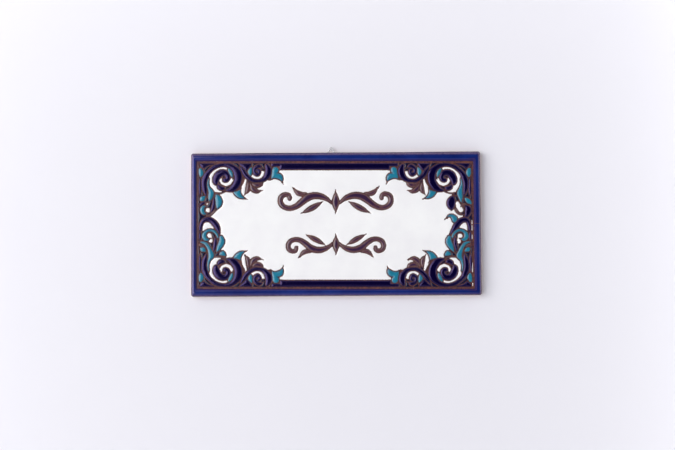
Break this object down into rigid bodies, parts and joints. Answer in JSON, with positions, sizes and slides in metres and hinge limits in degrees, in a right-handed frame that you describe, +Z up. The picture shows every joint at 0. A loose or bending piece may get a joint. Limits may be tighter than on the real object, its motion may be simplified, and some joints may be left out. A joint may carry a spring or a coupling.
{
  "type": "house name plaque",
  "caption": "Glazed clay name plaque: raised rim, scrolled corner relief and a two-row flourish on a sunk field, hung on a wall by a wire loop set in its top edge.",
  "frame": {"origin": "centre of the flat back face that lies against the wall", "axes": "+X along the long edge to the right as the front is read, +Y out of the back face into the wall, +Z up; the glazed front faces -Y"},
  "size_m": [0.28, 0.011, 0.1446],
  "materials": {
    "glazed_clay": "thick glossy glaze laid in cells over fired clay, with a bare clay back",
    "wire": "plain drawn wire, dulled by the firing"
  },
  "bodies": {
    "root": {"tile": "glazed_clay", "hanging_loop": "wire"}
  },
  "joints": []
}
